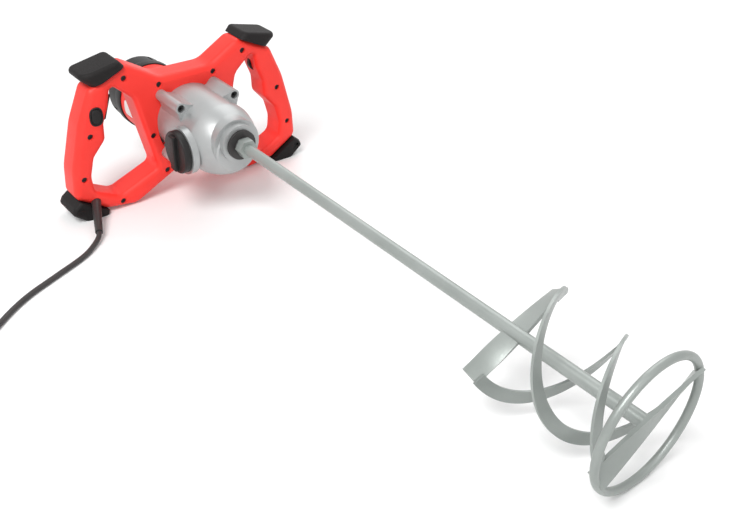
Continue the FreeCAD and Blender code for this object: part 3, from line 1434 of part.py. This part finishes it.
def make_cord(move):
    """The cord from the strain relief over the floor to its coil, the tie and the plug."""
    start, direction = gland_axis()
    turn = Rotation(ALONG_Y, math.degrees(tilt))
    gland_end = turn.multVec(start + direction * gland_length) + move
    gland_lead = gland_end + turn.multVec(direction) * cord_lead_out
    coil, edges, coil_end, coil_direction = make_coil()
    lead = coil_tangent(1e-3)
    coil_start = coil_point(0) - lead * (2 * cord_radius)
    ends = [coil_start - lead * cord_lead_in, coil_start]
    route = [gland_end, gland_lead] + [Vector(*p) for p in cord_route] + ends
    print("route", [tuple(round(v, 2) for v in p) for p in route])
    free = make_route(route)
    cord = swept(free, cord_radius)
    length = sum(e.Length for e in free)
    print("free cord %.0f mm, volume share %.4f" % (length,
                                                    cord.Volume / (math.pi * cord_radius ** 2 * length)))
    coil_length = sum(e.Length for e in edges)
    print("coil %.0f mm, least gap %.2f mm, volume share %.4f" % (
        coil_length, least_coil_gap(edges), coil.Volume / (math.pi * cord_radius ** 2 * coil_length)))
    print("gland end", gland_end, "coil start", coil_start, "coil end", coil_end, coil_direction)
    plug_direction = (coil_direction - ALONG_Z * plug_drop_share).normalize()
    plug, pins, pin_root = make_plug(coil_end, plug_direction)
    add("power_cord", cord)
    add("cord_coil", coil)
    add("coil_tie", make_tie())
    add("plug", plug)
    add("plug_pins", pins)
    return pin_root, plug_direction


def foot_point(side):
    """The middle of the flat on which a lower bumper stands, in metres."""
    name = "lower_right_bumper" if side > 0 else "lower_left_bumper"
    flat = [f for f in parts[name].Faces if f.BoundBox.ZMax < seat_gap]
    middle = max(flat, key=lambda face: face.Area).CenterOfMass
    return [middle.x / 1000, middle.y / 1000, middle.z / 1000]


build()
placed = lay_down()
plug_mount = make_cord(placed)
os.makedirs("parts", exist_ok=True)
for name, shape in parts.items():
    shape.exportStep("parts/" + name + ".step")
print(len(parts), "pieces, tilt %.3f degrees, moved by" % math.degrees(tilt), placed)
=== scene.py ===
import json
import math

import bmesh
import bpy
from mathutils import Matrix, Vector


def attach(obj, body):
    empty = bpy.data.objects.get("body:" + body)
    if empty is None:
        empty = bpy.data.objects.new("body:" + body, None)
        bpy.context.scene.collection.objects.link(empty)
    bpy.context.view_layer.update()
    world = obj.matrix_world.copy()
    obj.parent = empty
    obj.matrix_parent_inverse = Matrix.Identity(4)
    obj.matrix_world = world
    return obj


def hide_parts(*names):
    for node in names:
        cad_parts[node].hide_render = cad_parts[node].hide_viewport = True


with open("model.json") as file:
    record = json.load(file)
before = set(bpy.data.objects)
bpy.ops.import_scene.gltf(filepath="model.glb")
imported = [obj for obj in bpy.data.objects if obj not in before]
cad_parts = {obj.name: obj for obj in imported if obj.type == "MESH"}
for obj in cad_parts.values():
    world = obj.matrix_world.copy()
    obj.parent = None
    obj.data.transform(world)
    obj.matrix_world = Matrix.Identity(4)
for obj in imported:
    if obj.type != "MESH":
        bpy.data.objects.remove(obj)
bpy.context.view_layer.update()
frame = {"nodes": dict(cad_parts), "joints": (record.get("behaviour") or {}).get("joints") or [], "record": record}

nodes = frame["nodes"]
scene = bpy.context.scene

# Camera, solved from the photograph: metres, degrees, and millimetres for lens and sensor
CAMERA_PLACE = (0.7612, -0.5315, 0.5701)
CAMERA_TURN = (58.922, 0.441, 51.118)
CAMERA_LENS = 43.85
CAMERA_SENSOR = 36.0
CAMERA_NEAR = 0.01
CAMERA_FAR = 20.0

# Cord, in metres: the construction's own route and coil
CORD_DIAMETER = 0.0066
CORD_ROUND_STEPS = 6
CORD_LENGTH_STEPS = 8
CORD_ORDER = 3
ROUTE = [
    (-0.25255, -0.17005, 0.00892),
    (-0.24533, -0.17306, 0.00728),
    (-0.23300, -0.18600, 0.00460),
    (-0.21900, -0.20250, 0.00370),
    (-0.20800, -0.22200, 0.00370),
    (-0.19770, -0.24360, 0.00370),
    (-0.18630, -0.26660, 0.00370),
    (-0.17550, -0.28860, 0.00370),
    (-0.16210, -0.30920, 0.00370),
    (-0.14940, -0.32510, 0.00370),
    (-0.13850, -0.33750, 0.00370),
    (-0.12767, -0.34908, 0.00490),
    (-0.11155, -0.37439, 0.00490),
]
COIL_CENTRE = (-0.157, -0.413)
COIL_MIDDLE_RADIUS = 0.048
COIL_PITCH = 0.0074
COIL_TURNS = 3.0        # in each of its two layers
COIL_CLIMB = 0.5        # turns from the lower layer to the upper one
COIL_START_ANGLE = math.radians(34.0)
COIL_LEVEL = 0.00490
COIL_POINTS_PER_TURN = 20

# Motor and frame, in metres in the drill's own frame
MOTOR_RADIUS = 0.047
MOTOR_DROP = 0.022      # motor axis below the spindle axis
FRAME_FACE = -0.134     # the handle frame's front face
BUTTON_PLACE = (-0.1295, 0.022)
BUTTON_SIZE = (0.013, 0.020)

# Label plate on the barrel, in metres
LABEL_MIDDLE = -0.215
LABEL_HALF_LENGTH = 0.0205
LABEL_HALF_HEIGHT = 0.0110
LABEL_PROUD = 0.0006
LABEL_EDGE = 0.0005
LABEL_SUNK = 0.0002
LABEL_INNER_SHARES = (0.66, 0.33)
LABEL_CORNER_POWER = 7.0
LABEL_STEPS = 64

# Rim round the lock button, in metres: distance from the button and height over the frame's face
RIM_PROFILE = (
    (0.0004, -0.0012),
    (0.0004, 0.0006),
    (0.0010, 0.0011),
    (0.0019, 0.0011),
    (0.0025, 0.0006),
    (0.0027, -0.0002),
)
RIM_CORNER_POWER = 2.6
RIM_STEPS = 48

# Collar of the rear cap, in metres
COLLAR_BACK = -0.2614
COLLAR_FRONT = -0.2460
COLLAR_INNER = 0.0472
COLLAR_OUTER = 0.0490
COLLAR_EDGE = 0.0005
COLLAR_EDGE_DROP = 0.0006
COLLAR_SHOULDER = 0.0020
COLLAR_STEPS = 128

# Surfaces: noise scales are per metre
COLOUR_SCALE = 12.0
COLOUR_STOPS = (0.35, 0.65)
GRAIN_DETAIL = 3.0
GRAIN_ROUGHNESS = 0.55
GRAIN_RANGE = (0.3, 0.7)
BUMP_STRENGTH = 0.6
PLAIN_SPECULAR = 0.5
SMOOTH_ANGLE = math.radians(28.0)
MERGE_DISTANCE = 0.000002

# Stage: metres and watts
WHITE = (1.0, 1.0, 1.0, 1.0)
FLOOR_HALF = 6.0
FLOOR_FADE = (0.7, 3.0)
FLOOR_GLOW = (0.06, 0.70)
WORLD_LEVELS = (0.46, 1.0)      # as light on the object, and as seen
LIGHT_AIM = (0, 0, 0.1)
LIGHTS = (
    ("key", (0.6, -1.25, 1.9), 1.2, 42.0),
    ("fill", (-0.9, 1.2, 1.7), 1.8, 15.0),
    ("front", (1.7, -0.3, 0.9), 1.2, 4.0),
)

# The drill's own frame starts at the nose, with the spindle's axis along x, and is tilted as it lies
spindle = next(joint for joint in frame["joints"] if joint["name"] == "spindle_spin")
tilt = math.asin(-spindle["axis"][2])
drill_to_room = Matrix.Translation(spindle["pos_m"]) @ Matrix.Rotation(tilt, 4, "Y")


def make_camera():
    """The photograph's camera."""
    data = bpy.data.cameras.new("camera")
    data.sensor_fit = "HORIZONTAL"
    data.sensor_width = CAMERA_SENSOR
    data.lens = CAMERA_LENS
    data.clip_start = CAMERA_NEAR
    data.clip_end = CAMERA_FAR
    camera = bpy.data.objects.new("camera", data)
    camera.location = CAMERA_PLACE
    camera.rotation_euler = [math.radians(turn) for turn in CAMERA_TURN]
    scene.collection.objects.link(camera)
    scene.camera = camera


def coil_radius(past):
    """The coil's radius, by the turns past its lower layer."""
    inner = COIL_MIDDLE_RADIUS - COIL_PITCH * COIL_TURNS / 2
    if past <= COIL_CLIMB / 2:
        return inner - COIL_PITCH * past
    return inner + COIL_PITCH * (past - COIL_CLIMB)


def coil_point(turns):
    """A point of the put-away coil: in on the floor, up, and out on top."""
    past = turns - COIL_TURNS
    radius = coil_radius(past)
    height = min(max(past / COIL_CLIMB, 0), 1)
    angle = COIL_START_ANGLE - 2 * math.pi * turns
    return Vector((COIL_CENTRE[0] + radius * math.cos(angle), COIL_CENTRE[1] + radius * math.sin(angle),
                   COIL_LEVEL + height * COIL_PITCH))


def coil_end_way(turns):
    """The way in which the cord leaves the coil's upper layer, of unit length."""
    radius = coil_radius(turns - COIL_TURNS)
    angle = COIL_START_ANGLE - 2 * math.pi * turns
    outward = Vector((math.cos(angle), math.sin(angle), 0))
    onward = Vector((math.sin(angle), -math.cos(angle), 0))
    return (onward * 2 * math.pi * radius + outward * COIL_PITCH).normalized()


def make_cord():
    """The cord from the strain relief over the floor and through its coil to the plug, as one spline."""
    total = 2 * COIL_TURNS + COIL_CLIMB
    steps = int(total * COIL_POINTS_PER_TURN)
    points = ROUTE + [coil_point(total * i / steps) for i in range(steps + 1)]
    points.append(points[-1] + coil_end_way(total) * CORD_DIAMETER)
    curve = bpy.data.curves.new("cord", "CURVE")
    curve.dimensions = "3D"
    # A unit bevel takes its size from the points' radius, which also keeps the curve's box true
    curve.bevel_depth = 1.0
    curve.bevel_resolution = CORD_ROUND_STEPS
    curve.resolution_u = CORD_LENGTH_STEPS
    curve.use_fill_caps = True
    spline = curve.splines.new("NURBS")
    spline.points.add(len(points) - 1)
    for target, place in zip(spline.points, points):
        target.co = (*place, 1.0)
        target.radius = CORD_DIAMETER / 2
    spline.order_u = CORD_ORDER
    spline.use_endpoint_u = True
    piece = bpy.data.objects.new("cord", curve)
    scene.collection.objects.link(piece)
    return piece


def grain(tree, scale):
    """Noise in object coordinates at a scale per metre."""
    place = tree.nodes.new("ShaderNodeTexCoord")
    noise = tree.nodes.new("ShaderNodeTexNoise")
    noise.inputs["Scale"].default_value = scale
    noise.inputs["Detail"].default_value = GRAIN_DETAIL
    noise.inputs["Roughness"].default_value = GRAIN_ROUGHNESS
    tree.links.new(place.outputs["Object"], noise.inputs["Vector"])
    return noise.outputs["Fac"]


def blend(tree, source, colours):
    """Two colours over a noise value."""
    node = tree.nodes.new("ShaderNodeValToRGB")
    for element, place, colour in zip(node.color_ramp.elements, COLOUR_STOPS, colours):
        element.position = place
        element.color = (*colour, 1.0)
    tree.links.new(source, node.inputs["Fac"])
    return node.outputs["Color"]


def map_range(tree, source, before, after):
    """Maps a value from one range to another."""
    node = tree.nodes.new("ShaderNodeMapRange")
    node.inputs["From Min"].default_value, node.inputs["From Max"].default_value = before
    node.inputs["To Min"].default_value, node.inputs["To Max"].default_value = after
    tree.links.new(source, node.inputs["Value"])
    return node.outputs["Result"]


def surface(name, colours, rough, fine, depth, wide=COLOUR_SCALE, metallic=0.0, specular=PLAIN_SPECULAR):
    """A material with slow colour change, uneven roughness and a fine bump.

    colours are two close colours, rough is a range of roughness, fine the bump's scale, depth its height in
    metres and wide the colour change's scale.
    """
    material = bpy.data.materials.new(name)
    material.use_nodes = True
    tree = material.node_tree
    shader = tree.nodes["Principled BSDF"]
    tree.links.new(blend(tree, grain(tree, wide), colours), shader.inputs["Base Color"])
    small = grain(tree, fine)
    tree.links.new(map_range(tree, small, GRAIN_RANGE, rough), shader.inputs["Roughness"])
    bump = tree.nodes.new("ShaderNodeBump")
    bump.inputs["Strength"].default_value = BUMP_STRENGTH
    bump.inputs["Distance"].default_value = depth
    tree.links.new(small, bump.inputs["Height"])
    tree.links.new(bump.outputs["Normal"], shader.inputs["Normal"])
    shader.inputs["Metallic"].default_value = metallic
    shader.inputs["Specular IOR Level"].default_value = specular
    return material


LOOKS = {
    "red_plastic": dict(
        colours=((0.92, 0.036, 0.026), (0.98, 0.044, 0.032)), rough=(0.40, 0.50), fine=900.0, depth=0.00006,
        specular=0.35),
    "bumper_rubber": dict(
        colours=((0.011, 0.010, 0.010), (0.016, 0.014, 0.014)), rough=(0.54, 0.68), fine=700.0, depth=0.00012,
        specular=0.18),
    "dark_plastic": dict(
        colours=((0.011, 0.010, 0.010), (0.017, 0.016, 0.016)), rough=(0.38, 0.52), fine=900.0, depth=0.00006,
        specular=0.28),
    "black_rubber": dict(
        colours=((0.020, 0.018, 0.018), (0.030, 0.027, 0.027)), rough=(0.45, 0.60), fine=600.0,
        depth=0.00008),
    "cast_aluminium": dict(
        colours=((0.37, 0.38, 0.38), (0.43, 0.44, 0.44)), rough=(0.32, 0.46), fine=1100.0, depth=0.00012,
        metallic=0.55),
    "painted_steel": dict(
        colours=((0.28, 0.305, 0.29), (0.33, 0.355, 0.34)), rough=(0.30, 0.42), fine=500.0, depth=0.00008,
        metallic=0.4),
    "bronze": dict(
        colours=((0.50, 0.32, 0.13), (0.58, 0.38, 0.17)), rough=(0.25, 0.40), fine=500.0, depth=0.00003,
        metallic=1.0),
    "copper_wire": dict(
        colours=((0.42, 0.14, 0.05), (0.55, 0.20, 0.08)), rough=(0.30, 0.45), fine=800.0, depth=0.0002,
        metallic=0.9),
    "lamination": dict(
        colours=((0.22, 0.22, 0.23), (0.30, 0.30, 0.31)), rough=(0.35, 0.55), fine=800.0, depth=0.00008,
        metallic=0.9),
    "carbon": dict(
        colours=((0.02, 0.02, 0.02), (0.03, 0.03, 0.03)), rough=(0.50, 0.65), fine=900.0, depth=0.00004),
    "steel": dict(
        colours=((0.42, 0.43, 0.44), (0.52, 0.53, 0.54)), rough=(0.24, 0.38), fine=700.0, depth=0.00003,
        metallic=1.0),
    "blackened_steel": dict(
        colours=((0.030, 0.029, 0.030), (0.050, 0.048, 0.048)), rough=(0.30, 0.45), fine=800.0, depth=0.00004,
        metallic=0.6),
    "pale_foil": dict(
        colours=((0.80, 0.78, 0.77), (0.86, 0.84, 0.83)), rough=(0.30, 0.42), fine=300.0, depth=0.00003,
        wide=40.0),
}
looks = {name: surface(name, **values) for name, values in LOOKS.items()}
BLACKENED_NODES = ("housing_screws", "gear_housing_screws", "cap_screws")


def smoothing():
    """A modifier tree that joins the surface patches and shades all but the sharp edges smoothly."""
    tree = bpy.data.node_groups.new("smooth_shading", "GeometryNodeTree")
    tree.interface.new_socket("Geometry", in_out="INPUT", socket_type="NodeSocketGeometry")
    tree.interface.new_socket("Geometry", in_out="OUTPUT", socket_type="NodeSocketGeometry")
    start = tree.nodes.new("NodeGroupInput")
    end = tree.nodes.new("NodeGroupOutput")
    merge = tree.nodes.new("GeometryNodeMergeByDistance")
    merge.inputs["Distance"].default_value = MERGE_DISTANCE
    faces = tree.nodes.new("GeometryNodeSetShadeSmooth")
    faces.domain = "FACE"
    edges = tree.nodes.new("GeometryNodeSetShadeSmooth")
    edges.domain = "EDGE"
    bend = tree.nodes.new("GeometryNodeInputMeshEdgeAngle")
    flat = tree.nodes.new("FunctionNodeCompare")
    flat.data_type = "FLOAT"
    flat.operation = "LESS_EQUAL"
    flat.inputs["B"].default_value = SMOOTH_ANGLE
    tree.links.new(bend.outputs["Unsigned Angle"], flat.inputs["A"])
    tree.links.new(start.outputs["Geometry"], merge.inputs["Geometry"])
    tree.links.new(merge.outputs["Geometry"], faces.inputs["Geometry"])
    tree.links.new(faces.outputs["Geometry"], edges.inputs["Geometry"])
    tree.links.new(flat.outputs["Result"], edges.inputs["Shade Smooth"])
    tree.links.new(edges.outputs["Geometry"], end.inputs["Geometry"])
    return tree


def dress_nodes():
    """Gives each CAD node its material and its smooth shading."""
    look_of = {entry["node"]: entry["material_slot"] for entry in frame["record"]["subparts"]}
    look_of.update({name: "blackened_steel" for name in BLACKENED_NODES})
    tree = smoothing()
    for name, piece in nodes.items():
        piece.data.materials.clear()
        piece.data.materials.append(looks[look_of[name]])
        piece.modifiers.new("smooth_shading", "NODES").node_group = tree


def skin(shape, rows):
    """Faces between each row of points and the next."""
    for lower, upper in zip(rows, rows[1:]):
        for i in range(len(lower)):
            j = (i + 1) % len(lower)
            shape.faces.new((lower[i], lower[j], upper[j], upper[i]))


def mesh_piece(name, shape, material, body):
    """A new piece from a bmesh in the drill's own frame, with its material and body."""
    bmesh.ops.recalc_face_normals(shape, faces=shape.faces)
    shape.transform(drill_to_room)
    mesh = bpy.data.meshes.new(name)
    shape.to_mesh(mesh)
    shape.free()
    for face in mesh.polygons:
        face.use_smooth = True
    mesh.materials.append(material)
    piece = bpy.data.objects.new(name, mesh)
    scene.collection.objects.link(piece)
    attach(piece, body)


def oval(half_width, half_height, steps, power=2.0):
    """Points of an oval, counted round from its right-hand end; a higher power makes it squarer."""
    points = []
    for i in range(steps):
        angle = 2 * math.pi * i / steps
        c, s = math.cos(angle), math.sin(angle)
        points.append((math.copysign(abs(c) ** (2 / power), c) * half_width,
                       math.copysign(abs(s) ** (2 / power), s) * half_height))
    return points


def make_label():
    """The bare pale plate on the barrel's left side, bent to the barrel, with rounded corners."""
    shape = bmesh.new()
    levels = [(1.0, -LABEL_SUNK), (1.0, LABEL_PROUD - LABEL_EDGE / 2),
              (1 - LABEL_EDGE / LABEL_HALF_HEIGHT, LABEL_PROUD)]
    levels += [(share, LABEL_PROUD) for share in LABEL_INNER_SHARES]
    rows = []
    for share, lift in levels:
        radius = MOTOR_RADIUS + lift
        row = []
        for along, across in oval(LABEL_HALF_LENGTH * share, LABEL_HALF_HEIGHT * share, LABEL_STEPS,
                                  LABEL_CORNER_POWER):
            angle = math.pi + across / MOTOR_RADIUS
            row.append(shape.verts.new((LABEL_MIDDLE + along, radius * math.cos(angle),
                                        -MOTOR_DROP - radius * math.sin(angle))))
        rows.append(row)
    skin(shape, rows)
    shape.faces.new(rows[-1])
    mesh_piece("label_plate", shape, looks["pale_foil"], "frame")


def make_button_rim():
    """The dark moulded rim round the lock button, standing a little proud of the grip."""
    shape = bmesh.new()
    rows = []
    for grow, lift in RIM_PROFILE:
        outline = oval(BUTTON_SIZE[0] / 2 + grow, BUTTON_SIZE[1] / 2 + grow, RIM_STEPS, RIM_CORNER_POWER)
        rows.append([shape.verts.new((FRAME_FACE + lift, BUTTON_PLACE[0] + y, BUTTON_PLACE[1] + z))
                     for y, z in outline])
    skin(shape, rows)
    mesh_piece("button_rim", shape, looks["dark_plastic"], "frame")


def make_cap_collar():
    """The rear cap's dark collar, which reaches forward round the barrel's end."""
    shape = bmesh.new()
    edge = [(0, COLLAR_INNER), (COLLAR_EDGE, COLLAR_OUTER - COLLAR_EDGE_DROP),
            (COLLAR_SHOULDER, COLLAR_OUTER)]
    profile = [(COLLAR_BACK + step, radius) for step, radius in edge]
    profile += [(COLLAR_FRONT - step, radius) for step, radius in reversed(edge)]
    rows = [[shape.verts.new((x, y, z - MOTOR_DROP)) for y, z in oval(radius, radius, COLLAR_STEPS)]
            for x, radius in profile]
    skin(shape, rows + rows[:1])
    mesh_piece("cap_collar", shape, looks["dark_plastic"], "frame")


def seen(tree):
    """One for a ray from the camera, a reflection or a transmission, and zero for the light on the object."""
    path = tree.nodes.new("ShaderNodeLightPath")
    either = path.outputs["Is Camera Ray"]
    for ray in ("Is Glossy Ray", "Is Transmission Ray"):
        larger = tree.nodes.new("ShaderNodeMath")
        larger.operation = "MAXIMUM"
        tree.links.new(either, larger.inputs[0])
        tree.links.new(path.outputs[ray], larger.inputs[1])
        either = larger.outputs["Value"]
    return either


def make_floor():
    """A pale floor that keeps the shadow and fades to white."""
    half = FLOOR_HALF
    corners = [(-half, -half, 0), (half, -half, 0), (half, half, 0), (-half, half, 0)]
    mesh = bpy.data.meshes.new("floor")
    mesh.from_pydata(corners, [], [(0, 1, 2, 3)])
    floor = bpy.data.objects.new("floor", mesh)
    scene.collection.objects.link(floor)
    material = surface("floor", colours=((0.90, 0.90, 0.90), (0.92, 0.92, 0.92)), rough=(0.7, 0.8), fine=60.0,
                       depth=0.00002)
    tree = material.node_tree
    shader = tree.nodes["Principled BSDF"]
    shader.inputs["Emission Color"].default_value = WHITE
    place = tree.nodes.new("ShaderNodeTexCoord")
    distance = tree.nodes.new("ShaderNodeVectorMath")
    distance.operation = "LENGTH"
    tree.links.new(place.outputs["Object"], distance.inputs[0])
    glow = tree.nodes.new("ShaderNodeMath")
    glow.operation = "MULTIPLY"
    tree.links.new(seen(tree), glow.inputs[0])
    tree.links.new(map_range(tree, distance.outputs["Value"], FLOOR_FADE, FLOOR_GLOW), glow.inputs[1])
    tree.links.new(glow.outputs["Value"], shader.inputs["Emission Strength"])
    mesh.materials.append(material)


def make_light():
    """An even white surround and three soft lights."""
    world = bpy.data.worlds.new("world")
    scene.world = world
    world.use_nodes = True
    tree = world.node_tree
    background = tree.nodes["Background"]
    background.inputs["Color"].default_value = WHITE
    tree.links.new(map_range(tree, seen(tree), (0.0, 1.0), WORLD_LEVELS), background.inputs["Strength"])
    for name, place, size, power in LIGHTS:
        data = bpy.data.lights.new(name, "AREA")
        data.shape = "DISK"
        data.size = size
        data.energy = power
        light = bpy.data.objects.new(name, data)
        light.location = place
        light.rotation_euler = (Vector(LIGHT_AIM) - Vector(place)).to_track_quat("-Z", "Y").to_euler()
        scene.collection.objects.link(light)


scene.view_settings.view_transform = "Standard"
scene.view_settings.look = "None"
make_camera()
cord = make_cord()
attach(cord, "frame")
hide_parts("power_cord", "cord_coil")
dress_nodes()
cord.data.materials.append(looks["black_rubber"])
make_label()
make_button_rim()
make_cap_collar()
make_floor()
make_light()
bpy.context.view_layer.update()
